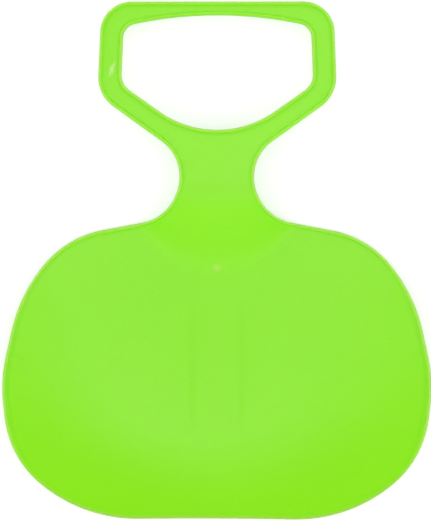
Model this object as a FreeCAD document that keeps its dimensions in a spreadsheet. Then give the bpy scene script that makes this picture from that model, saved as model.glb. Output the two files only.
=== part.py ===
# A one-piece moulded snow slider: a dished seat pan, a ramp up to the neck and a loop handle.
# X is the width, Y runs from the tail to the handle and Z is up. Lengths are millimetres.

import math
import os

import FreeCAD
import Part
import Sketcher

doc = FreeCAD.newDocument("snow_slider")

# Driving dimensions: name, value and what it sets
SIZES = [
    ("handle_top_x", 105, "top corner of the handle, from the middle"),
    ("handle_top_y", 233, "top edge of the handle"),
    ("handle_top_round", 29, "radius of the handle's top corners"),
    ("handle_foot_x", 108, "lower corner of the handle"),
    ("handle_foot_y", 147.5, "lower corner of the handle"),
    ("handle_foot_round", 32.5, "radius of the handle's lower corners"),
    ("neck_cross_x", 25, "how far the neck's two tangents cross over the middle"),
    ("neck_y", 51.5, "where the neck's tangents meet"),
    ("neck_round", 40, "radius of the hollow on each side of the neck"),
    ("shoulder_x", 139.5, "front corner of the pan"),
    ("shoulder_y", 20.5, "front corner of the pan"),
    ("shoulder_round", 88.5, "radius of the front corners of the pan"),
    ("hip_x", 181, "front of the pan's side"),
    ("hip_back", 33.5, "front of the pan's side, behind the origin"),
    ("hip_round", 141.5, "radius at the front of the pan's side"),
    ("flank_x", 196.5, "widest part of the pan"),
    ("flank_back", 110, "widest part of the pan, behind the origin"),
    ("flank_round", 134.5, "radius at the widest part of the pan"),
    ("haunch_x", 187.5, "rear of the pan's side"),
    ("haunch_back", 181, "rear of the pan's side, behind the origin"),
    ("haunch_round", 93, "radius at the rear of the pan's side"),
    ("tail_x", 118.5, "end of the straight tail edge"),
    ("tail_back", 233, "tail edge, behind the origin"),
    ("tail_round", 137, "radius at the ends of the tail edge"),
    ("grip_crown_y", 227, "where the tangents of the grip opening's top edge meet"),
    ("grip_crown_round", 358, "radius of the grip opening's top edge"),
    ("grip_top_x", 84.5, "top corner of the grip opening"),
    ("grip_top_y", 210, "top corner of the grip opening"),
    ("grip_top_round", 13, "radius of the opening's top corners"),
    ("grip_side_x", 86, "lower corner of the grip opening"),
    ("grip_side_y", 157.5, "lower corner of the grip opening"),
    ("grip_side_round", 18, "radius of the opening's lower corners"),
    ("grip_foot_y", 96, "where the tangents of the opening's bottom meet"),
    ("grip_foot_round", 89.5, "radius of the opening's bottom"),
    ("wall", 2.8, "thickness of the moulded sheet"),
    ("rim_width", 3.8, "width of the raised rim along every edge"),
    ("rim_thickness", 4.8, "thickness of the raised rim"),
    ("half_width", 195, "half the width that the dish is measured over"),
    ("dish_rise", 29, "rise of the dish from its middle to the tail edge"),
    ("dish_power", 3.8, "how late the dish rises"),
    ("dish_squareness", 2, "how square the dish is, seen from above: 2 is an ellipse"),
    ("dish_start_back", 2, "where the dish begins to rise to the tail, behind the origin"),
    ("dish_side_share", 0.86, "how far the sides reach up the dish, as a share of the way to the tail edge"),
    ("shoulder_start_back", 64, "where the front shoulders begin to dip, behind the origin"),
    ("shoulder_run", 110, "length that the shoulders' dip is measured over"),
    ("shoulder_dip", 14, "depth of the shoulders' dip over that length, at half_width"),
    ("shoulder_power", 2.8, "how far out the shoulders' dip begins"),
    ("ramp_foot_back", 3, "foot of the ramp on the middle line, behind the origin"),
    ("ramp_foot_bow", 55, "how much the foot draws forward at ramp_foot_x"),
    ("ramp_foot_x", 66, "half the width of the ramp's foot"),
    ("ramp_foot_power", 2.6, "how round the ramp's foot is, seen from above"),
    ("ramp_fade_run", 91, "length up the ramp over which that roundness is lost"),
    ("ramp_straight", 43, "length of the ramp's straight part, seen from above"),
    ("ramp_bend", 27, "length of the bend at the top of the ramp"),
    ("ramp_angle", 32, "slope of the ramp, degrees"),
    ("neck_fall", 3.8, "fall of the handle at the top of the bend, degrees"),
    ("grip_fall", 3.5, "fall of the handle at its top edge, degrees"),
    ("ramp_softness", 10.5, "depth of the hollow blend at the ramp's foot"),
    ("runner_x", 22.5, "distance of each runner rib from the middle"),
    ("runner_front_back", 33, "front end of the ribs, behind the origin"),
    ("runner_rear_back", 163, "rear end of the ribs, behind the origin"),
    ("runner_width", 4, "width of a rib"),
    ("runner_height", 3, "height of a rib below the flat of the pan"),
    ("runner_edge_round", 0.6, "rounding of a rib's lower edges"),
    ("gate_back", 8, "gate mark, behind the origin"),
    ("gate_radius", 3, "radius of the gate mark"),
    ("gate_depth", 0.5, "depth of the gate mark"),
    ("wide_step", 18, "spacing of the stations of the free-form faces on the pan and the handle"),
    ("close_step", 5, "spacing of those stations about the ramp's foot"),
    ("overrun", 12, "how far cutters reach past what they cut"),
    ("block_height", 190, "height of the blocks that are cut to the sheet"),
]

sheet = doc.addObject("Spreadsheet::Sheet", "Sizes")
for row, (alias, value, note) in enumerate(SIZES, start=1):
    sheet.set("A%d" % row, note)
    sheet.set("B%d" % row, str(value))
    sheet.setAlias("B%d" % row, alias)
doc.recompute()


def size(alias):
    """One driving dimension, read from the sheet."""
    return float(sheet.get(alias))


def bind(obj, **properties):
    """Tie properties of an object to expressions of the sheet's cells."""
    for name, expression in properties.items():
        obj.setExpression(name, expression)


# Height of the middle of the sheet
def pan_height(x, y):
    """The dish, which rises to its sides and its tail and dips a little at its front shoulders."""
    across = abs(x) / size("half_width")
    back = max(0.0, -y - size("dish_start_back")) / (size("tail_back") - size("dish_start_back"))
    square = size("dish_squareness")
    reach = ((across * size("dish_side_share")) ** square + back ** square) ** (1 / square)
    front = min(1.0, max(0.0, y + size("shoulder_start_back")) / size("shoulder_run"))
    dip = size("shoulder_dip") * front ** 2 * across ** size("shoulder_power")
    return size("dish_rise") * reach ** size("dish_power") - dip


def ramp_height(x, y):
    """The ramp and the handle: straight from a rounded foot, then bent to the neck and eased to the grip."""
    ramp_slope = math.tan(math.radians(size("ramp_angle")))
    neck_slope = -math.tan(math.radians(size("neck_fall")))
    grip_slope = -math.tan(math.radians(size("grip_fall")))
    bend_run = size("ramp_bend")
    run = size("ramp_straight") + bend_run
    along = y + size("ramp_foot_back")
    fade = max(0.0, 1.0 - max(0.0, along) / size("ramp_fade_run"))
    along -= size("ramp_foot_bow") * (abs(x) / size("ramp_foot_x")) ** size("ramp_foot_power") * fade
    on_ramp = min(along, run)
    on_bend = max(0.0, on_ramp - size("ramp_straight"))
    height = ramp_slope * on_ramp - (ramp_slope - neck_slope) * on_bend ** 2 / (2 * bend_run)
    on_handle = along - on_ramp
    handle_run = size("handle_top_y") + size("ramp_foot_back") - run
    return height + neck_slope * on_handle - (neck_slope - grip_slope) * on_handle ** 2 / (2 * handle_run)


def mid_height(x, y):
    """Height of the sheet's middle: the higher of pan and ramp, blended where they meet."""
    pan = pan_height(x, y)
    ramp = ramp_height(x, y)
    soft = size("ramp_softness")
    blend = max(0.0, soft - abs(pan - ramp)) ** 2 / (4 * soft)
    return size("runner_height") + size("wall") / 2 + max(pan, ramp) + blend


def sheet_point(x, y, offset):
    """A point of the sheet, moved along its normal from the middle."""
    step = size("wall")
    slope_x = (mid_height(x + step, y) - mid_height(x - step, y)) / (2 * step)
    slope_y = (mid_height(x, y + step) - mid_height(x, y - step)) / (2 * step)
    normal = FreeCAD.Vector(-slope_x, -slope_y, 1).normalize()
    return FreeCAD.Vector(x, y, mid_height(x, y)) + normal * offset


def stations(low, close_low, close_high, high):
    """Places from low to high, closer together about the ramp's foot."""
    places = [low]
    for start, end, step in ((low, close_low, size("wide_step")),
                             (close_low, close_high, size("close_step")),
                             (close_high, high, size("wide_step"))):
        count = math.ceil((end - start) / step)
        places += [start + (end - start) * i / count for i in range(1, count + 1)]
    return places


def free_form_face(name, offset):
    """A smooth face through the sheet at one offset from its middle."""
    margin = size("overrun")
    side = size("flank_x") + margin
    foot_side = size("ramp_foot_x") + margin
    columns = stations(-side, -foot_side, foot_side, side)
    rows = stations(-size("tail_back") - margin, -size("ramp_foot_back") - margin,
                    size("neck_y") + 2 * margin, size("handle_top_y") + margin)
    surface = Part.BSplineSurface()
    surface.interpolate([[sheet_point(x, y, offset) for y in rows] for x in columns])
    face = doc.addObject("Part::Feature", name)
    face.Shape = surface.toShape()
    return face


# Outlines with rounded corners
def outline_sketch(name, corners):
    """A closed outline, alike on both sides of the Y axis, whose corners are rounded.

    Each corner is (x, y, radius) in expressions of the sheet's cells, listed down the right side.
    A corner whose x is None lies on the axis.
    """
    sketch = doc.addObject("Sketcher::SketchObject", name)
    right = [(0.0 if x is None else expression_value(x), expression_value(y), expression_value(r), x, y, r)
             for x, y, r in corners]
    ring = list(right)
    mirror_of = list(range(len(right)))
    for index in reversed(range(len(right))):
        x, y, r = right[index][:3]
        if right[index][3] is not None:
            ring.append((-x, y, r, None, None, None))
            mirror_of.append(index)
    arcs, lines = rounded_ring([corner[:3] for corner in ring])

    point_ids = [sketch.addGeometry(Part.Point(FreeCAD.Vector(x, y, 0)), True) for x, y, *_ in ring]
    line_ids = [sketch.addGeometry(Part.LineSegment(a, b), False) for a, b in lines]
    arc_ids = [sketch.addGeometry(arc, False) for arc, _ in arcs]
    count = len(ring)
    for i in range(count):
        start_pos, end_pos = (1, 2) if arcs[i][1] else (2, 1)
        before, after = line_ids[i - 1], line_ids[i]
        sketch.addConstraint(Sketcher.Constraint("Tangent", before, 2, arc_ids[i], start_pos))
        sketch.addConstraint(Sketcher.Constraint("Tangent", arc_ids[i], end_pos, after, 1))
        sketch.addConstraint(Sketcher.Constraint("PointOnObject", point_ids[i], 1, before))
        sketch.addConstraint(Sketcher.Constraint("PointOnObject", point_ids[i], 1, after))
    for i in range(count):
        source = mirror_of[i]
        if source != i:
            sketch.addConstraint(Sketcher.Constraint("Symmetric", point_ids[source], 1, point_ids[i], 1, -2))
            sketch.addConstraint(Sketcher.Constraint("Equal", arc_ids[source], arc_ids[i]))
            continue
        x, y, radius, x_cell, y_cell, r_cell = ring[i]
        bound_datum(sketch, Sketcher.Constraint("Radius", arc_ids[i], radius), "radius_%d" % i, r_cell)
        bound_offset(sketch, "DistanceY", point_ids[i], y, "y_%d" % i, y_cell)
        if x_cell is None:
            sketch.addConstraint(Sketcher.Constraint("PointOnObject", point_ids[i], 1, -2))
        else:
            bound_offset(sketch, "DistanceX", point_ids[i], x, "x_%d" % i, x_cell)
    return sketch


def expression_value(expression):
    """The number that a cell's name stands for, with an optional minus sign."""
    alias = expression.lstrip("-")
    return -size(alias) if expression.startswith("-") else size(alias)


def bound_datum(sketch, constraint, name, expression):
    index = sketch.addConstraint(constraint)
    sketch.renameConstraint(index, name)
    sketch.setExpression("Constraints.%s" % name, "Sizes.%s" % expression.lstrip("-"))


def bound_offset(sketch, kind, point_id, value, name, expression):
    """A distance from the origin, always positive: a corner behind the origin is measured back to it."""
    if value < 0:
        constraint = Sketcher.Constraint(kind, point_id, 1, -1, 1, -value)
    else:
        constraint = Sketcher.Constraint(kind, -1, 1, point_id, 1, value)
    bound_datum(sketch, constraint, name, expression)


def rounded_ring(ring):
    """Arcs (with True where they run anticlockwise) and the straight lines between them."""
    arcs = []
    ends = []
    for i, (x, y, radius) in enumerate(ring):
        corner = FreeCAD.Vector(x, y, 0)
        to_last = (FreeCAD.Vector(*ring[i - 1][:2], 0) - corner).normalize()
        to_next = (FreeCAD.Vector(*ring[(i + 1) % len(ring)][:2], 0) - corner).normalize()
        half = to_last.getAngle(to_next) / 2
        start = corner + to_last * (radius / math.tan(half))
        end = corner + to_next * (radius / math.tan(half))
        centre = corner + (to_last + to_next).normalize() * (radius / math.sin(half))
        anticlockwise = to_last.cross(to_next).z < 0
        first, last = (start, end) if anticlockwise else (end, start)
        circle = Part.Circle(centre, FreeCAD.Vector(0, 0, 1), radius)
        arc = Part.ArcOfCircle(circle, circle.parameter(first), circle.parameter(last))
        arcs.append((arc, anticlockwise))
        ends.append((start, end))
    lines = [(ends[i][1], ends[(i + 1) % len(ends)][0]) for i in range(len(ends))]
    return arcs, lines


outline = outline_sketch("outline", [
    ("handle_top_x", "handle_top_y", "handle_top_round"),
    ("handle_foot_x", "handle_foot_y", "handle_foot_round"),
    ("-neck_cross_x", "neck_y", "neck_round"),
    ("shoulder_x", "shoulder_y", "shoulder_round"),
    ("hip_x", "-hip_back", "hip_round"),
    ("flank_x", "-flank_back", "flank_round"),
    ("haunch_x", "-haunch_back", "haunch_round"),
    ("tail_x", "-tail_back", "tail_round"),
])
grip = outline_sketch("grip_opening", [
    (None, "grip_crown_y", "grip_crown_round"),
    ("grip_top_x", "grip_top_y", "grip_top_round"),
    ("grip_side_x", "grip_side_y", "grip_side_round"),
    (None, "grip_foot_y", "grip_foot_round"),
])
doc.recompute()


# Blocks and cutters
def offset_wire(name, source, offset):
    """A copy of an outline, moved outwards or, where offset is negative, inwards."""
    wire = doc.addObject("Part::Offset2D", name)
    wire.Source = source
    bind(wire, Value=offset)
    return wire


def extrusion(name, base, up=True):
    """A block that stands on an outline or a face, or hangs below it, and clears the whole part."""
    block = doc.addObject("Part::Extrusion", name)
    block.Base = base
    block.DirMode = "Custom"
    block.Dir = FreeCAD.Vector(0, 0, 1 if up else -1)
    block.Solid = True
    bind(block, LengthFwd="Sizes.block_height")
    return block


def cut(name, base, tool):
    result = doc.addObject("Part::Cut", name)
    result.Base = base
    result.Tool = tool
    return result


def fuse(name, shapes):
    result = doc.addObject("Part::MultiFuse", name)
    result.Shapes = shapes
    return result


def common(name, base, tool):
    result = doc.addObject("Part::MultiCommon", name)
    result.Shapes = [base, tool]
    return result


def space_above(name, offset):
    """Everything over the sheet, from one offset from its middle."""
    return extrusion(name, free_form_face(name + "_face", offset))


def space_below(name, offset):
    """Everything under the sheet, from one offset from its middle."""
    return extrusion(name, free_form_face(name + "_face", -offset), up=False)


# A sheet as thick as the rim, with the outline and the grip opening
rim_offset = size("rim_thickness") / 2
blank = cut("blank", extrusion("outline_block", outline), extrusion("grip_block", grip))
topped = cut("topped_blank", blank, space_above("over_rim", rim_offset))
thick_sheet = cut("thick_sheet", topped, space_below("under_rim", rim_offset))
doc.recompute()

# Recessed on both sides down to the wall, which leaves the rim raised along every edge
wall_offset = size("wall") / 2
rim_inside = offset_wire("rim_inside", outline, "-Sizes.rim_width")
grip_outside = offset_wire("grip_outside", grip, "Sizes.rim_width")
recess = cut("recess", extrusion("recess_block", rim_inside), extrusion("recess_island", grip_outside))
top_recess = common("top_recess", recess, space_above("over_seat", wall_offset))
under_recess = common("under_recess", recess, space_below("under_seat", wall_offset))
panelled = cut("panelled_sheet", cut("topside_panel", thick_sheet, top_recess), under_recess)
doc.recompute()

# Two runner ribs under the pan: flat below, rounded at the ends and sunk into the sheet above
def runner_body(name):
    body = doc.addObject("PartDesign::Body", name)
    sketch = body.newObject("Sketcher::SketchObject", name + "_outline")
    sketch.AttachmentSupport = [(body.Origin.OriginFeatures[3], "")]
    sketch.MapMode = "FlatFace"
    up = FreeCAD.Vector(0, 0, 1)
    radius = size("runner_width") / 2
    front = FreeCAD.Vector(size("runner_x"), -size("runner_front_back") - radius, 0)
    rear = FreeCAD.Vector(size("runner_x"), -size("runner_rear_back") + radius, 0)
    side = FreeCAD.Vector(radius, 0, 0)
    front_arc = Part.ArcOfCircle(Part.Circle(front, up, radius), 0, math.pi)
    rear_arc = Part.ArcOfCircle(Part.Circle(rear, up, radius), math.pi, 2 * math.pi)
    front_end = sketch.addGeometry(front_arc, False)
    rear_end = sketch.addGeometry(rear_arc, False)
    left = sketch.addGeometry(Part.LineSegment(front - side, rear - side), False)
    right = sketch.addGeometry(Part.LineSegment(rear + side, front + side), False)
    for first, first_end, second, second_end in ((front_end, 2, left, 1), (left, 2, rear_end, 1),
                                                 (rear_end, 2, right, 1), (right, 2, front_end, 1)):
        sketch.addConstraint(Sketcher.Constraint("Tangent", first, first_end, second, second_end))
    sketch.addConstraint(Sketcher.Constraint("Vertical", left))
    bound_datum(sketch, Sketcher.Constraint("Radius", front_end, radius), "end_radius", "runner_width / 2")
    bound_datum(sketch, Sketcher.Constraint("DistanceX", -1, 1, front_end, 3, front.x), "place", "runner_x")
    bound_datum(sketch, Sketcher.Constraint("DistanceY", front_end, 3, -1, 1, -front.y), "front_centre",
                "runner_front_back + Sizes.runner_width / 2")
    bound_datum(sketch, Sketcher.Constraint("DistanceY", rear_end, 3, -1, 1, -rear.y), "rear_centre",
                "runner_rear_back - Sizes.runner_width / 2")
    pad = body.newObject("PartDesign::Pad", name + "_pad")
    pad.Profile = sketch
    bind(pad, Length="Sizes.dish_rise")
    doc.recompute()
    lower_edges = ["Edge%d" % number for number, edge in enumerate(pad.Shape.Edges, start=1)
                   if edge.BoundBox.ZMax < size("runner_edge_round")]
    rounding = body.newObject("PartDesign::Fillet", name + "_rounding")
    rounding.Base = (pad, lower_edges)
    bind(rounding, Radius="Sizes.runner_edge_round")
    return body


right_runner = cut("right_runner", runner_body("runner"), space_above("over_middle", 0))
left_runner = doc.addObject("Part::Mirroring", "left_runner")
left_runner.Source = right_runner
left_runner.Normal = FreeCAD.Vector(1, 0, 0)

# The gate mark in front of the ramp's foot is a shallow round hollow
gate = doc.addObject("Part::Sphere", "gate_hollow")
bind(gate, Radius="(Sizes.gate_radius ^ 2 + Sizes.gate_depth ^ 2) / (2 * Sizes.gate_depth)")
doc.recompute()
gate_floor = sheet_point(0, -size("gate_back"), size("wall") / 2 - size("gate_depth"))
gate.Placement.Base = gate_floor + FreeCAD.Vector(0, 0, gate.Radius.Value)

# One moulding
sled_shell = cut("sled_shell", fuse("moulding", [panelled, right_runner, left_runner]), gate)
sled_shell.Label = "sled_shell"
doc.recompute()

for obj in doc.Objects:
    if "Invalid" in obj.State or "Error" in obj.State:
        raise RuntimeError("%s did not build: %s" % (obj.Label, obj.State))
shell = sled_shell.Shape
if shell.isNull() or not shell.isValid() or len(shell.Solids) != 1:
    raise RuntimeError("sled_shell is not one valid solid")

os.makedirs("parts", exist_ok=True)
shell.exportStep("parts/%s.step" % sled_shell.Label)
print("sled_shell: %.0f mm3, %d faces" % (shell.Volume, len(shell.Faces)))
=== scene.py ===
import math
import bpy
import bmesh
import numpy as np
from mathutils import Euler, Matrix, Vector, kdtree
from mathutils.geometry import delaunay_2d_cdt


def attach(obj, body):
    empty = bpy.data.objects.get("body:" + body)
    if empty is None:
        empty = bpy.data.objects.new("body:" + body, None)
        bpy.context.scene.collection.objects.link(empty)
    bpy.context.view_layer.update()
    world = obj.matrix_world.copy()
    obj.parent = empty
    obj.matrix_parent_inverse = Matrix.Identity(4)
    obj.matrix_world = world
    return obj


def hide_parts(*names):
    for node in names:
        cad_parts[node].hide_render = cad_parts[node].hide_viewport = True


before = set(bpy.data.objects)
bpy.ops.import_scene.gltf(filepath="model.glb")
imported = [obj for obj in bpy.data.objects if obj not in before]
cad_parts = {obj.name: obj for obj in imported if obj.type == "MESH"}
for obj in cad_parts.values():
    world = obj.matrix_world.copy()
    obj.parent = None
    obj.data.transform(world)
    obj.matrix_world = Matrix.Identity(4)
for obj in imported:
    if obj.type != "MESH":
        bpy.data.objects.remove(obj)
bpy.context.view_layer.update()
scene = bpy.context.scene
scene.view_settings.view_transform = 'Standard'
mm = 0.001

# the moulding, in millimetres: corners are (x, y, radius) down the right side
sledForm = {
    'outline': [(105.7, 233.6, 28.7), (108.6, 147.4, 33.4), (-24.9, 51, 39.8), (139.1, 20.2, 89),
                (180.7, -33.8, 141.9), (195.8, -109.8, 134.7), (185.5, -179.4, 94.4), (117.6, -234.5, 140.2)],
    'grip': [(0, 227.2, 358), (84.9, 210.7, 13.1), (86.7, 157.4, 17.5), (0, 95.7, 89.5)],
    'outlineStep': 2.6, 'gripStep': 2.0, 'cornerFiner': 8,
    'wall': 2.8, 'baseHeight': 4.4,
    'halfWidth': 195, 'dishRise': 29, 'dishPower': 3.8, 'dishSquareness': 2, 'dishStart': -2, 'dishEnd': -233,
    'dishSideShare': 0.86, 'shoulderStart': -64, 'shoulderRun': 110, 'shoulderDip': 14, 'shoulderPower': 2.8,
    'footY': -3, 'footX': 66, 'footBow': 55, 'footPower': 2.6, 'footFade': 91, 'footSoftness': 10.5,
    'rampStraight': 43, 'rampBend': 27, 'handleRun': 166, 'rampAngle': 32, 'neckAngle': -3.8, 'gripAngle': -3.5,
}


def rise(value, start, run):
    # 0 up to the start, then up to 1 over the run
    return np.clip((value - start) / run, 0, 1)


def midHeight(x, y):
    # height of the middle of the sheet: the dish, the ramp and a soft blend where they meet
    f = sledForm
    across = np.abs(x) / f['halfWidth']
    back = np.maximum(0, f['dishStart'] - y) / (f['dishStart'] - f['dishEnd'])
    square = f['dishSquareness']
    reach = ((across * f['dishSideShare']) ** square + back ** square) ** (1 / square)
    front = rise(y, f['shoulderStart'], f['shoulderRun'])
    pan = f['dishRise'] * reach ** f['dishPower'] - f['shoulderDip'] * front ** 2 * across ** f['shoulderPower']
    rampSlope, neckSlope, gripSlope = (math.tan(math.radians(f[k])) for k in ('rampAngle', 'neckAngle', 'gripAngle'))
    run = f['rampStraight'] + f['rampBend']
    along = y - f['footY']
    fade = np.maximum(0, 1 - np.maximum(0, along) / f['footFade'])
    along = along - f['footBow'] * (np.abs(x) / f['footX']) ** f['footPower'] * fade      # the foot is round from above
    onRamp = np.minimum(along, run)
    onBend = np.maximum(0, onRamp - f['rampStraight'])
    onHandle = along - onRamp
    ramp = rampSlope * onRamp - (rampSlope - neckSlope) * onBend ** 2 / (2 * f['rampBend'])
    ramp = ramp + neckSlope * onHandle - (neckSlope - gripSlope) * onHandle ** 2 / (2 * f['handleRun'])
    blend = np.maximum(0, f['footSoftness'] - np.abs(pan - ramp)) ** 2 / (4 * f['footSoftness'])
    return f['baseHeight'] + np.maximum(pan, ramp) + blend


def onSheet(plan, lift, upright=0.0):
    # points at a lift from the sheet's middle, along its normal or, as the edges are moulded, straight up
    x, y = plan[:, 0], plan[:, 1]
    h = 0.5
    slopeX = (midHeight(x + h, y) - midHeight(x - h, y)) / (2 * h)
    slopeY = (midHeight(x, y + h) - midHeight(x, y - h)) / (2 * h)
    normal = np.stack([-slopeX, -slopeY, np.ones(len(x))], 1)
    normal /= np.linalg.norm(normal, axis=1)[:, None]
    up = np.column_stack([np.zeros((len(x), 2)), 1 / normal[:, 2]])
    away = normal * (1 - upright) + up * upright
    return np.column_stack([plan, midHeight(x, y)]) + away * np.reshape(lift, (-1, 1))


def roundedLoop(rightSide, step):
    # evenly spaced points clockwise round an outline that is alike on both sides
    ring = rightSide + [(-x, y, r) for x, y, r in reversed(rightSide) if x != 0]
    dense = []
    for i, (x, y, radius) in enumerate(ring):
        corner = Vector((x, y))
        toLast = (Vector(ring[i - 1][:2]) - corner).normalized()
        toNext = (Vector(ring[(i + 1) % len(ring)][:2]) - corner).normalized()
        half = toLast.angle(toNext) / 2
        start = corner + toLast * (radius / math.tan(half))
        end = corner + toNext * (radius / math.tan(half))
        centre = corner + (toLast + toNext).normalized() * (radius / math.sin(half))
        a = math.atan2(start.y - centre.y, start.x - centre.x)
        turn = (math.atan2(end.y - centre.y, end.x - centre.x) - a + math.pi) % (2 * math.pi) - math.pi
        count = max(4, int(abs(turn) * radius / (step / sledForm['cornerFiner'])))     # evened out below
        for k in range(count + 1):
            t = a + turn * k / count
            dense.append((centre.x + radius * math.cos(t), centre.y + radius * math.sin(t)))
    dense = np.array(dense + dense[:1])
    travelled = np.concatenate([[0], np.cumsum(np.linalg.norm(np.diff(dense, axis=0), axis=1))])
    count = int(round(travelled[-1] / step))
    even = np.arange(count) * travelled[-1] / count
    loop = np.column_stack([np.interp(even, travelled, dense[:, k]) for k in (0, 1)])
    along = np.roll(loop, -1, 0) - np.roll(loop, 1, 0)
    along /= np.linalg.norm(along, axis=1)[:, None]
    return loop, np.column_stack([along[:, 1], -along[:, 0]])     # the right-hand normal


def inside(points, loop):
    # even-odd test of many points
    x, y = points[:, 0][:, None], points[:, 1][:, None]
    ax, ay = loop[:, 0], loop[:, 1]
    bx, by = np.roll(ax, -1), np.roll(ay, -1)
    crosses = (ay > y) != (by > y)
    at = ax + (y - ay) * (bx - ax) / np.where(by == ay, 1, by - ay)
    return (np.count_nonzero(crosses & (x < at), axis=1) % 2) == 1


# the bead along every edge, as (distance in from the edge, lift, lift round the pan, share of the painted flank): a
# groove beside the seat, which fades round the pan, a low crown, a leaning flank painted pale as a highlight, and a
# plainer round underneath
rimForm = [
    (4.9, 1.40, 1.40, 0), (4.6, 1.38, 1.43, 0), (4.25, 1.27, 1.62, 0), (3.95, 1.17, 1.85, 0),
    (3.75, 1.16, 1.97, 0), (3.6, 1.25, 2.03, 0), (3.45, 1.45, 2.07, 0), (3.25, 1.78, 2.10, 0),
    (3.05, 2.02, 2.11, 0), (2.8, 2.15, 2.10, 0.1), (2.5, 2.2, 2.06, 0.3), (2.2, 2.18, 1.99, 0.6),
    (1.9, 2.08, 1.88, 0.9), (1.6, 1.88, 1.73, 1), (1.3, 1.60, 1.52, 1), (1.0, 1.25, 1.22, 1),
    (0.7, 0.82, 0.80, 1), (0.4, 0.22, 0.22, 1), (0.18, -0.45, -0.45, 0.9), (0.04, -1.05, -1.05, 0.7),
    (0.0, -1.5, -1.5, 0.4), (0.08, -1.85, -1.85, 0.2), (0.3, -2.18, -2.18, 0), (0.65, -2.36, -2.36, 0),
    (1.1, -2.4, -2.4, 0), (2.9, -2.4, -2.4, 0), (3.3, -2.33, -2.33, 0), (3.6, -2.15, -2.15, 0),
    (3.8, -1.85, -1.85, 0), (3.95, -1.6, -1.6, 0), (4.3, -1.43, -1.43, 0), (4.9, -1.40, -1.40, 0),
]
# how the bead changes on its way round the pan, by where an edge faces (1 at the tail, 0 at the sides, -1 to the
# handle), and the run over which it comes to stand straight up
# where an edge faces the tail, the painted highlight on its flank gives way to painted shade
beadTurn = {'panFrom': 10, 'panFade': 40, 'sideFrom': -0.7, 'sideFade': 0.5, 'tailFrom': 0.1, 'tailFade': 0.6,
            'tailShadeFrom': 0.45, 'tailShadeFade': 0.5, 'leastHighlight': 0.25, 'highlightFade': 0.8, 'uprightRun': 1.9}
# how much painted shade lies in the groove at the foot of the bead, by distance in from the edge
grooveForm = {'away': (2.8, 3.5, 4.3, 4.9), 'grooveShade': (0, 0.8, 1, 0.85), 'least': 0.15}
# stations of the panels between the beads, closer on the neck, the foot of the ramp and the ribs
panelForm = {'step': 3.4, 'neckBand': (-75, 75, 2.6), 'footBand': (-6, 46, 1.9), 'ribReach': 7, 'ribStep': 1.1,
             'clear': 1.7, 'sliver': 0.1, 'merge': 1e-5, 'joinFlat': 12, 'joinShape': 50}
# the ribs below and the shallow lines that they leave in the seat above
ribForm = {'x': 22.5, 'frontY': -33, 'rearY': -163, 'width': 4, 'edgeRound': 0.6, 'footRound': 0.9, 'footGap': 0.15,
           'step': 2.4, 'endStep': 0.7, 'innerRing': 1.2, 'edgeTurns': (30, 60, 90), 'footShares': (0, 0.25, 0.55, 1),
           'clear': 1.2, 'slack': 0.01, 'sinkDepth': 0.1, 'sinkSpread': 3.6, 'endFade': 22}
# the gate mark at the foot of the ramp, and the pale blush round it
gateForm = {'y': -8, 'radius': 3.2, 'depth': 0.4, 'lip': 0.06, 'lipSpread': 1.0,
            'rings': (0.9, 1.7, 2.4, 2.9, 3.3, 3.8, 4.4, 5.2), 'spokes': 28, 'clear': 6.2,
            'height': 6.6, 'blushOuter': 5.6, 'blushInner': 2.0}


def spread(low, high, bands, step):
    # places from low to high, closer together inside the (from, to, step) bands
    places, at = [], low
    while at < high:
        places.append(at)
        near = [s for a, b, s in bands if a <= at < b]
        at += min(near) if near else step
    return places + [high]


def ribDistance(plan):
    # distance from the middle line of the nearer rib
    r = ribForm
    half = r['width'] / 2
    y = np.clip(plan[:, 1], r['rearY'] + half, r['frontY'] - half)
    return np.hypot(np.abs(plan[:, 0]) - r['x'], plan[:, 1] - y)


def ribLoop(side, away):
    # a round-ended loop at a distance from the middle line of one rib
    r = ribForm
    half = r['width'] / 2
    low, high = r['rearY'] + half, r['frontY'] - half
    turns = max(5, int(math.pi * away / r['endStep']))
    rows = int((high - low) / r['step'])
    ends = [(away * math.cos(math.pi * k / turns), away * math.sin(math.pi * k / turns)) for k in range(turns)]
    loop = [(x, high + y) for x, y in ends]
    loop += [(-away, high + (low - high) * k / rows) for k in range(rows)]
    loop += [(-x, low - y) for x, y in ends]
    loop += [(away, low + (high - low) * k / rows) for k in range(rows)]
    return np.array(loop) + (side * r['x'], 0)


def sinkShare(plan):
    # 1 along the middle of a rib, fading to nothing beside it and at its ends
    r = ribForm
    ends = rise(np.minimum(plan[:, 1] - r['rearY'], r['frontY'] - plan[:, 1]), 0, r['endFade'])
    return np.exp(-((np.abs(plan[:, 0]) - r['x']) / r['sinkSpread']) ** 2) * ends


def seatPoints(plan):
    # the top of the panel, with the ribs' sink lines and the gate mark
    g = gateForm
    lift = sledForm['wall'] / 2 - ribForm['sinkDepth'] * sinkShare(plan)
    away = np.hypot(plan[:, 0], plan[:, 1] - g['y'])
    lift -= g['depth'] * np.maximum(0, 1 - (away / g['radius']) ** 2)
    lift += g['lip'] * np.exp(-((away - g['radius'] - g['lipSpread'] / 2) / g['lipSpread'] * 2) ** 2)
    return onSheet(plan, lift)


def underPoints(plan):
    # the underside of the panel, drawn down to the ground where the ribs are
    r = ribForm
    half = r['width'] / 2
    points = onSheet(plan, np.full(len(plan), -sledForm['wall'] / 2))
    away = ribDistance(plan)
    edge = np.clip(away - (half - r['edgeRound']), 0, r['edgeRound'])
    low = r['edgeRound'] - np.sqrt(np.maximum(0, r['edgeRound'] ** 2 - edge ** 2))
    flare = np.clip((half + r['footGap'] + r['footRound'] - away) / r['footRound'], 0, 1)
    foot = points[:, 2] - r['footRound'] * (1 - np.sqrt(np.maximum(0, 1 - flare ** 2)))
    onRib = away <= half + r['slack']
    points[:, 2] = np.where(onRib, low, foot)
    points[onRib, 0], points[onRib, 1] = plan[onRib, 0], plan[onRib, 1]
    return points


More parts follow.
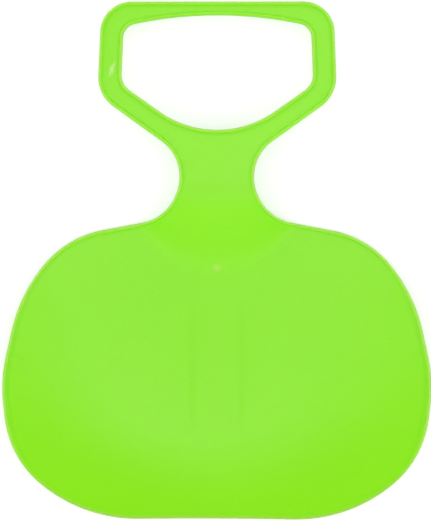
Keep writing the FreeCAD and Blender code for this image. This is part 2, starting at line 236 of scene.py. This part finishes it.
def panelPlan(outerLoop, gripLoop, rings, hole, ribsClose):
    # flat triangles between the two beads: loops, feature rings and a grid of stations
    p = panelForm
    lowX, highX = outerLoop[:, 0].min(), outerLoop[:, 0].max()
    lowY, highY = outerLoop[:, 1].min(), outerLoop[:, 1].max()
    bands = [p['neckBand']]
    if ribsClose:
        bands += [(s * ribForm['x'] - p['ribReach'], s * ribForm['x'] + p['ribReach'], p['ribStep']) for s in (-1, 1)]
    xs = spread(lowX, highX, bands, p['step'])
    ys = spread(lowY, highY, [p['footBand']], p['step'])
    grid = np.array([(x, y) for x in xs for y in ys])
    grid = grid[inside(grid, outerLoop) & ~inside(grid, gripLoop)]
    tree = kdtree.KDTree(len(outerLoop) + len(gripLoop))
    for i, (x, y) in enumerate(np.concatenate([outerLoop, gripLoop])):
        tree.insert((x, y, 0), i)
    tree.balance()
    grid = np.array([q for q in grid if tree.find((q[0], q[1], 0))[2] > p['clear']])
    grid = grid[~hole(grid)]
    verts, edges = [], []
    for loop in [outerLoop, gripLoop] + rings:
        first, count = len(verts), len(loop)
        verts += [Vector(q) for q in loop]
        edges += [(first + k, first + (k + 1) % count) for k in range(count)]
    verts += [Vector(q) for q in grid]
    made, _, faces, origins, _, _ = delaunay_2d_cdt(verts, edges, [], 1, p['merge'], True)
    plan = np.array([tuple(v) for v in made])
    back = [min(o) for o in origins]
    corners = plan[np.array(faces)]
    middles = corners.mean(1)
    keep = inside(middles, outerLoop) & ~inside(middles, gripLoop)     # not the leg notches or the grip opening
    a, b = corners[:, 1] - corners[:, 0], corners[:, 2] - corners[:, 0]
    onEdge = (np.array(back)[np.array(faces)] < len(outerLoop)).all(1)
    flat = np.abs(a[:, 0] * b[:, 1] - a[:, 1] * b[:, 0]) < p['sliver']
    keep &= ~(onEdge & flat)        # nor flat ones on a straight edge
    kept = [tuple(f) for f, wanted in zip(faces, keep) if wanted]
    return plan, back, kept


def buildSled():
    outline, outlineNormal = roundedLoop(sledForm['outline'], sledForm['outlineStep'])
    grip, gripNormal = roundedLoop(sledForm['grip'], sledForm['gripStep'])
    panelEdge, panelLift = rimForm[0][:2]
    b = beadTurn
    coords, faces, highlight, dull, grooveShade = [], [], [], [], []
    loopStart = {}
    for name, loop, inward in (('outline', outline, outlineNormal), ('grip', grip, -gripNormal)):
        count = len(loop)
        first = len(coords)
        facing = inward[:, 1]
        # a weaker painted highlight on the edges that face the tail
        highlightShare = b['leastHighlight'] + (1 - b['leastHighlight']) * rise(1 - facing, 0, b['highlightFade'])
        onPan = rise(b['panFrom'] - loop[:, 1], 0, b['panFade'])
        sides = onPan * rise(facing, b['sideFrom'], b['sideFade'])
        tail = onPan * rise(facing, b['tailFrom'], b['tailFade'])           # there the bead is low
        tailShade = onPan * rise(facing, b['tailShadeFrom'], b['tailShadeFade'])           # and its flank darkened by painted shade
        # painted shade in the groove, strongest along the pan's sides
        grooveShadeShare = grooveForm['least'] + (1 - grooveForm['least']) * sides * (1 - tail)
        for away, lift, panLift, flankPaint in rimForm:
            upright = min(1.0, (panelEdge - away) / b['uprightRun'])
            lifts = lift + (panLift - lift) * sides
            lifts += (min(panLift, panelLift) - lifts) * tail
            coords += list(onSheet(loop + inward * away, lifts, upright))
            flankPaint = np.minimum(1, flankPaint * (1 + sides))
            # painted highlight on the bead's outer flank
            highlight += list(flankPaint * highlightShare * (1 - tailShade))
            # painted shade on the bead's flank along the tail
            dull += list(flankPaint * tailShade)
            # painted shade in the groove at the foot of the bead
            grooveShade += list(grooveShadeShare * (np.interp(away, grooveForm['away'], grooveForm['grooveShade']) if lift > 0 else 0))
        for k in range(len(rimForm) - 1):
            here, below = first + k * count, first + (k + 1) * count
            for i in range(count):
                j = (i + 1) % count
                quad = [here + i, here + j, below + j, below + i]
                faces.append(quad if name == 'outline' else quad[::-1])
        loopStart[name] = (first, first + (len(rimForm) - 1) * count)
    outerLoop = outline + outlineNormal * panelEdge
    gripLoop = grip - gripNormal * panelEdge
    print('beads', len(coords), 'points')

    g, r = gateForm, ribForm
    turns = [2 * math.pi * k / g['spokes'] for k in range(g['spokes'])]
    gateRings = [np.array([(a * math.cos(t), g['y'] + a * math.sin(t)) for t in turns]) for a in g['rings']]
    gateHole = lambda q: np.hypot(q[:, 0], q[:, 1] - g['y']) < g['clear']
    half = r['width'] / 2
    ribAways = [half - r['innerRing'], half - r['edgeRound']]
    ribAways += [half - r['edgeRound'] * (1 - math.sin(math.radians(a))) for a in r['edgeTurns']]
    ribAways += [half + r['footGap'] + r['footRound'] * s for s in r['footShares']]
    ribRings = [ribLoop(s, a) for s in (-1, 1) for a in ribAways]
    ribHole = lambda q: ribDistance(q) < half + r['footRound'] + r['clear']

    for top, rings, hole, place in ((True, gateRings, gateHole, seatPoints), (False, ribRings, ribHole, underPoints)):
        plan, back, triangles = panelPlan(outerLoop, gripLoop, rings, hole, top)
        solid = place(plan)
        end = 0 if top else 1
        shared = {i: loopStart['outline'][end] + i for i in range(len(outerLoop))}      # points that the beads have
        shared.update({len(outerLoop) + i: loopStart['grip'][end] + i for i in range(len(gripLoop))})
        index = []
        for v, source in enumerate(back):
            if source in shared:
                index.append(shared[source])
            else:
                index.append(len(coords))
                coords.append(solid[v])
        for f in triangles:
            ids = [index[v] for v in f]
            faces.append(ids if top else ids[::-1])
        print('panel', 'seat' if top else 'underside', len(triangles), 'triangles')

    mesh = bpy.data.meshes.new('sled_moulding')
    mesh.from_pydata([tuple(np.array(c) * mm) for c in coords], [], faces)
    bm = bmesh.new()
    bm.from_mesh(mesh)
    bmesh.ops.recalc_face_normals(bm, faces=bm.faces)
    bmesh.ops.join_triangles(bm, faces=[f for f in bm.faces if len(f.verts) == 3],
                             angle_face_threshold=math.radians(panelForm['joinFlat']),
                             angle_shape_threshold=math.radians(panelForm['joinShape']))
    loose = [e for e in bm.edges if len(e.link_faces) != 2]
    print('open edges', len(loose), 'faces', len(bm.faces))
    for f in bm.faces:
        f.smooth = True
    bm.to_mesh(mesh)
    bm.free()
    at = np.array([v.co for v in mesh.vertices]) / mm
    onSeat = at[:, 2] > midHeight(at[:, 0], at[:, 1])
    rest = (0, len(at) - len(highlight))      # the panels' points come after the beads'
    # the painted highlight on the flanks, the painted shade on the tail's flank and the painted shade in the groove,
    # kept as point marks
    marks = {'edgeHighlight': np.pad(highlight, rest), 'edgeShade': np.pad(dull, rest), 'paintedGrooveShade': np.pad(grooveShade, rest),
             'sinkLine': sinkShare(at) * onSeat, 'seatSide': onSeat.astype(float)}
    for name, values in marks.items():
        mesh.attributes.new(name, 'FLOAT', 'POINT').data.foreach_set('value', values)
    sled = bpy.data.objects.new('sled_moulding', mesh)
    scene.collection.objects.link(sled)
    return sled


# lime-green moulded plastic: colours are linear
plasticLook = {
    'green': (0.313, 0.945, 0.009, 1), 'deepGreen': (0.293, 0.920, 0.006, 1), 'gateGreen': (0.41, 0.95, 0.050, 1),
    # on the beads: a pale painted highlight, a duller painted shade along the tail and a deeper painted shade in the
    # groove
    'highlightGreen': (0.45, 0.88, 0.10, 1), 'tailShadeGreen': (0.41, 0.77, 0.10, 1), 'grooveShadeGreen': (0.268, 0.885, 0.002, 1),
    'sinkGreen': (0.284, 0.907, 0.004, 1), 'glintGreen': (0.56, 0.95, 0.26, 1),
    'ior': 1.46, 'subsurface': 0.08, 'subsurfaceRadius': (0.6, 1.0, 0.2), 'subsurfaceScale': 0.004,
    'cloudScale': 9.0, 'grainScale': 420.0, 'grainRange': (0.3, 0.7), 'grainBump': 0.03, 'grainDepth': 0.0004,
    'rippleScale': 38.0, 'rippleBump': 0.05, 'rippleDepth': 0.002,
    'roughLow': 0.27, 'roughHigh': 0.36, 'sinkDull': 0.08,
}
# a painted highlight, a pale streaky glint on the left of the loop, in metres
glintSpot = {'middle': (-0.0952, 0.1708, 0.032), 'size': (0.0060, 0.0185, 0.05), 'turn': -16,
             'streakSeed': 4.7, 'streakScale': 3.4, 'streakRough': 0.7, 'cut': (0.29, 0.42)}


def nodeFor(tree, kind, **values):
    node = tree.nodes.new(kind)
    for name, value in values.items():
        if name in node.bl_rna.properties:
            setattr(node, name, value)
        else:
            node.inputs[name.replace('_', ' ')].default_value = value
    return node


def mathNode(tree, operation, *values):
    node = nodeFor(tree, 'ShaderNodeMath', operation=operation)
    for socket, value in zip(node.inputs, values):
        if isinstance(value, bpy.types.NodeSocket):
            tree.links.new(value, socket)
        else:
            socket.default_value = value
    return node.outputs[0]


def rampNode(tree, value, low, high, start=0.0, end=1.0):
    node = nodeFor(tree, 'ShaderNodeMapRange', interpolation_type='SMOOTHSTEP',
                   From_Min=low, From_Max=high, To_Min=start, To_Max=end)
    tree.links.new(value, node.inputs['Value'])
    return node.outputs['Result']


def noiseNode(tree, place, **values):
    node = nodeFor(tree, 'ShaderNodeTexNoise', **values)
    tree.links.new(place, node.inputs['Vector'])
    return node.outputs['Fac']


def markNode(tree, name):
    return nodeFor(tree, 'ShaderNodeAttribute', attribute_name=name).outputs['Fac']


def laidOver(tree, share, under, colour):
    # a colour over another by a share
    node = nodeFor(tree, 'ShaderNodeMix', data_type='RGBA')
    tree.links.new(share, node.inputs['Factor'])
    if isinstance(under, bpy.types.NodeSocket):
        tree.links.new(under, node.inputs[6])
    else:
        node.inputs[6].default_value = under
    node.inputs[7].default_value = colour
    return node.outputs[2]


def bumpNode(tree, height, strength, distance):
    node = nodeFor(tree, 'ShaderNodeBump', Strength=strength, Distance=distance)
    tree.links.new(height, node.inputs['Height'])
    return node


def limePlastic():
    look, g, s = plasticLook, gateForm, glintSpot
    material = bpy.data.materials.new('limePlastic')
    material.use_nodes = True
    tree = material.node_tree
    link = tree.links.new
    shader = tree.nodes['Principled BSDF']
    shader.inputs['IOR'].default_value = look['ior']
    shader.inputs['Subsurface Weight'].default_value = look['subsurface']
    shader.inputs['Subsurface Radius'].default_value = look['subsurfaceRadius']
    shader.inputs['Subsurface Scale'].default_value = look['subsurfaceScale']
    place = nodeFor(tree, 'ShaderNodeTexCoord').outputs['Object']

    cloud = noiseNode(tree, place, Scale=look['cloudScale'], Detail=3.0)        # slow drift of the pigment
    colour = laidOver(tree, cloud, look['deepGreen'], look['green'])

    fromGate = nodeFor(tree, 'ShaderNodeVectorMath', operation='DISTANCE')      # pale blush at the gate
    link(place, fromGate.inputs[0])
    fromGate.inputs[1].default_value = (0, g['y'] * mm, g['height'] * mm)
    blush = rampNode(tree, fromGate.outputs['Value'], g['blushOuter'] * mm, g['blushInner'] * mm)
    colour = laidOver(tree, blush, colour, look['gateGreen'])

    # a painted highlight on the bead flanks, painted shade on the flank along the tail and in the groove at the foot of
    # the bead, the skin over the ribs
    for mark, tone in (('edgeHighlight', 'highlightGreen'), ('edgeShade', 'tailShadeGreen'),
                       ('paintedGrooveShade', 'grooveShadeGreen'), ('sinkLine', 'sinkGreen')):
        colour = laidOver(tree, markNode(tree, mark), colour, look[tone])

    # a painted highlight: a pale streaky glint on the left of the loop
    toGlint = nodeFor(tree, 'ShaderNodeMapping', vector_type='TEXTURE', Location=s['middle'],
                      Rotation=(0, 0, math.radians(s['turn'])), Scale=s['size'])
    link(place, toGlint.inputs['Vector'])
    spot = nodeFor(tree, 'ShaderNodeTexGradient', gradient_type='SPHERICAL')
    link(toGlint.outputs[0], spot.inputs['Vector'])
    streaks = noiseNode(tree, toGlint.outputs[0], noise_dimensions='4D', W=s['streakSeed'], Scale=s['streakScale'],
                        Detail=3.0, Roughness=s['streakRough'])
    glint = mathNode(tree, 'MULTIPLY', spot.outputs['Fac'], streaks)
    glint = mathNode(tree, 'MULTIPLY', glint, markNode(tree, 'seatSide'))       # on the top only
    colour = laidOver(tree, rampNode(tree, glint, *s['cut']), colour, look['glintGreen'])
    link(colour, shader.inputs['Base Color'])

    grain = noiseNode(tree, place, Scale=look['grainScale'], Detail=4.0)
    rough = nodeFor(tree, 'ShaderNodeMapRange', From_Min=look['grainRange'][0], From_Max=look['grainRange'][1],
                    To_Min=look['roughLow'], To_Max=look['roughHigh'])
    link(grain, rough.inputs['Value'])
    dull = mathNode(tree, 'MULTIPLY_ADD', markNode(tree, 'sinkLine'), look['sinkDull'], rough.outputs['Result'])
    link(dull, shader.inputs['Roughness'])

    ripple = noiseNode(tree, place, Scale=look['rippleScale'], Detail=2.0)      # slight waviness of a cooled sheet
    waves = bumpNode(tree, ripple, look['rippleBump'], look['rippleDepth'])
    fine = bumpNode(tree, grain, look['grainBump'], look['grainDepth'])
    link(waves.outputs['Normal'], fine.inputs['Normal'])
    link(fine.outputs['Normal'], shader.inputs['Normal'])
    return material


sled = buildSled()
sled.data.materials.append(limePlastic())
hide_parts('sled_shell')
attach(sled, 'root')
print('sled done')


# the stage: a pale floor that renders white and keeps the shadow
stageLook = {'floorSize': 9.0, 'floorDrop': 0.0004, 'floorColour': (0.70, 0.70, 0.70, 1), 'whiteLift': 0.52}


def paleFloor():
    material = bpy.data.materials.new('paleFloor')
    material.use_nodes = True
    tree = material.node_tree
    tree.nodes.clear()
    link = tree.links.new
    base = nodeFor(tree, 'ShaderNodeBsdfDiffuse', Color=stageLook['floorColour'])
    path = nodeFor(tree, 'ShaderNodeLightPath')
    seen = mathNode(tree, 'MAXIMUM', path.outputs['Is Camera Ray'], path.outputs['Is Glossy Ray'])
    seen = mathNode(tree, 'MAXIMUM', seen, path.outputs['Is Transmission Ray'])
    glow = nodeFor(tree, 'ShaderNodeEmission')
    link(mathNode(tree, 'MULTIPLY', seen, stageLook['whiteLift']), glow.inputs['Strength'])
    both = nodeFor(tree, 'ShaderNodeAddShader')
    link(base.outputs[0], both.inputs[0])
    link(glow.outputs[0], both.inputs[1])
    out = nodeFor(tree, 'ShaderNodeOutputMaterial')
    link(both.outputs[0], out.inputs['Surface'])
    return material


half = stageLook['floorSize'] / 2
floorMesh = bpy.data.meshes.new('floor')
floorMesh.from_pydata([(-half, -half, 0), (half, -half, 0), (half, half, 0), (-half, half, 0)], [], [(0, 1, 2, 3)])
floorMesh.materials.append(paleFloor())
floor = bpy.data.objects.new('floor', floorMesh)
floor.location.z = -stageLook['floorDrop']
scene.collection.objects.link(floor)

# soft studio light from all round, in lobes with their glow, middle and widths in degrees: a broad band
# across the seat, a small spot towards the handle, a little low light behind the tail
lightDome = {
    'band': {'glow': 0.945, 'middle': (2, -15.1), 'widthX': 117, 'widthY': 22.2},
    'spot': {'glow': 3.1, 'middle': (2, 14.8), 'widthX': 7.3, 'widthY': 4.0},
    'behind': {'glow': 0.60, 'middle': (2, -71.4), 'widthX': 8, 'widthY': 6.7},
}
# the rest is dim, darker towards the handle, with a ring near the horizon that is bright there
domeBase = {'dim': 0.455, 'dimHandle': 0.105, 'ring': 0.60, 'ringHandle': 2.6, 'ringHigh': 0.36, 'ringLow': 0.10,
            'handleFrom': 0.2, 'handleFull': 0.6}


def glowLobe(tree, turnX, turnY, lobe):
    # a soft bell of light
    away = []
    for turn, middle, width in ((turnX, lobe['middle'][0], lobe['widthX']), (turnY, lobe['middle'][1], lobe['widthY'])):
        off = mathNode(tree, 'SUBTRACT', turn, math.radians(middle))
        share = mathNode(tree, 'DIVIDE', off, math.radians(width))
        away.append(mathNode(tree, 'MULTIPLY', share, share))
    fall = mathNode(tree, 'MULTIPLY', mathNode(tree, 'ADD', *away), -0.5)
    return mathNode(tree, 'MULTIPLY', mathNode(tree, 'EXPONENT', fall), lobe['glow'])


def buildDome():
    d = domeBase
    world = bpy.data.worlds.new('studio')
    scene.world = world
    world.use_nodes = True
    tree = world.node_tree
    parts = nodeFor(tree, 'ShaderNodeSeparateXYZ')
    tree.links.new(nodeFor(tree, 'ShaderNodeTexCoord').outputs['Generated'], parts.inputs[0])
    x, y, z = parts.outputs
    turnX = mathNode(tree, 'ARCTAN2', x, z)
    turnY = mathNode(tree, 'ARCTAN2', y, z)
    strength = rampNode(tree, y, d['handleFrom'], d['handleFull'], d['dim'], d['dimHandle'])
    ring = mathNode(tree, 'MULTIPLY', rampNode(tree, z, d['ringHigh'], d['ringLow']),
                    rampNode(tree, y, d['handleFrom'], d['handleFull'], d['ring'], d['ringHandle']))
    strength = mathNode(tree, 'ADD', strength, ring)
    for lobe in lightDome.values():
        strength = mathNode(tree, 'ADD', strength, glowLobe(tree, turnX, turnY, lobe))
    back = tree.nodes['Background']
    back.inputs['Color'].default_value = (1, 1, 1, 1)
    tree.links.new(strength, back.inputs['Strength'])


buildDome()
print('stage and light done')

# the camera looks straight down, the handle at the top of a 431 by 520 picture
cameraSet = {'distance': 1.6, 'metresPerPixel': 0.0009213, 'pictureHeight': 520, 'sensor': 24.0,
             'tilt': (-1.45, -1.09, -0.11), 'slide': (-0.00166, -0.00098)}
c = cameraSet
camData = bpy.data.cameras.new('camera')
camData.sensor_fit = 'VERTICAL'
camData.sensor_height = c['sensor']
camData.lens = c['sensor'] * c['distance'] / (c['pictureHeight'] * c['metresPerPixel'])
camera = bpy.data.objects.new('camera', camData)
turn = Euler([math.radians(a) for a in c['tilt']], 'XYZ').to_matrix().transposed()
camera.matrix_world = turn.to_4x4()
camera.location = turn @ Vector((c['slide'][0], c['slide'][1], c['distance']))
scene.collection.objects.link(camera)
scene.camera = camera
print('camera done')
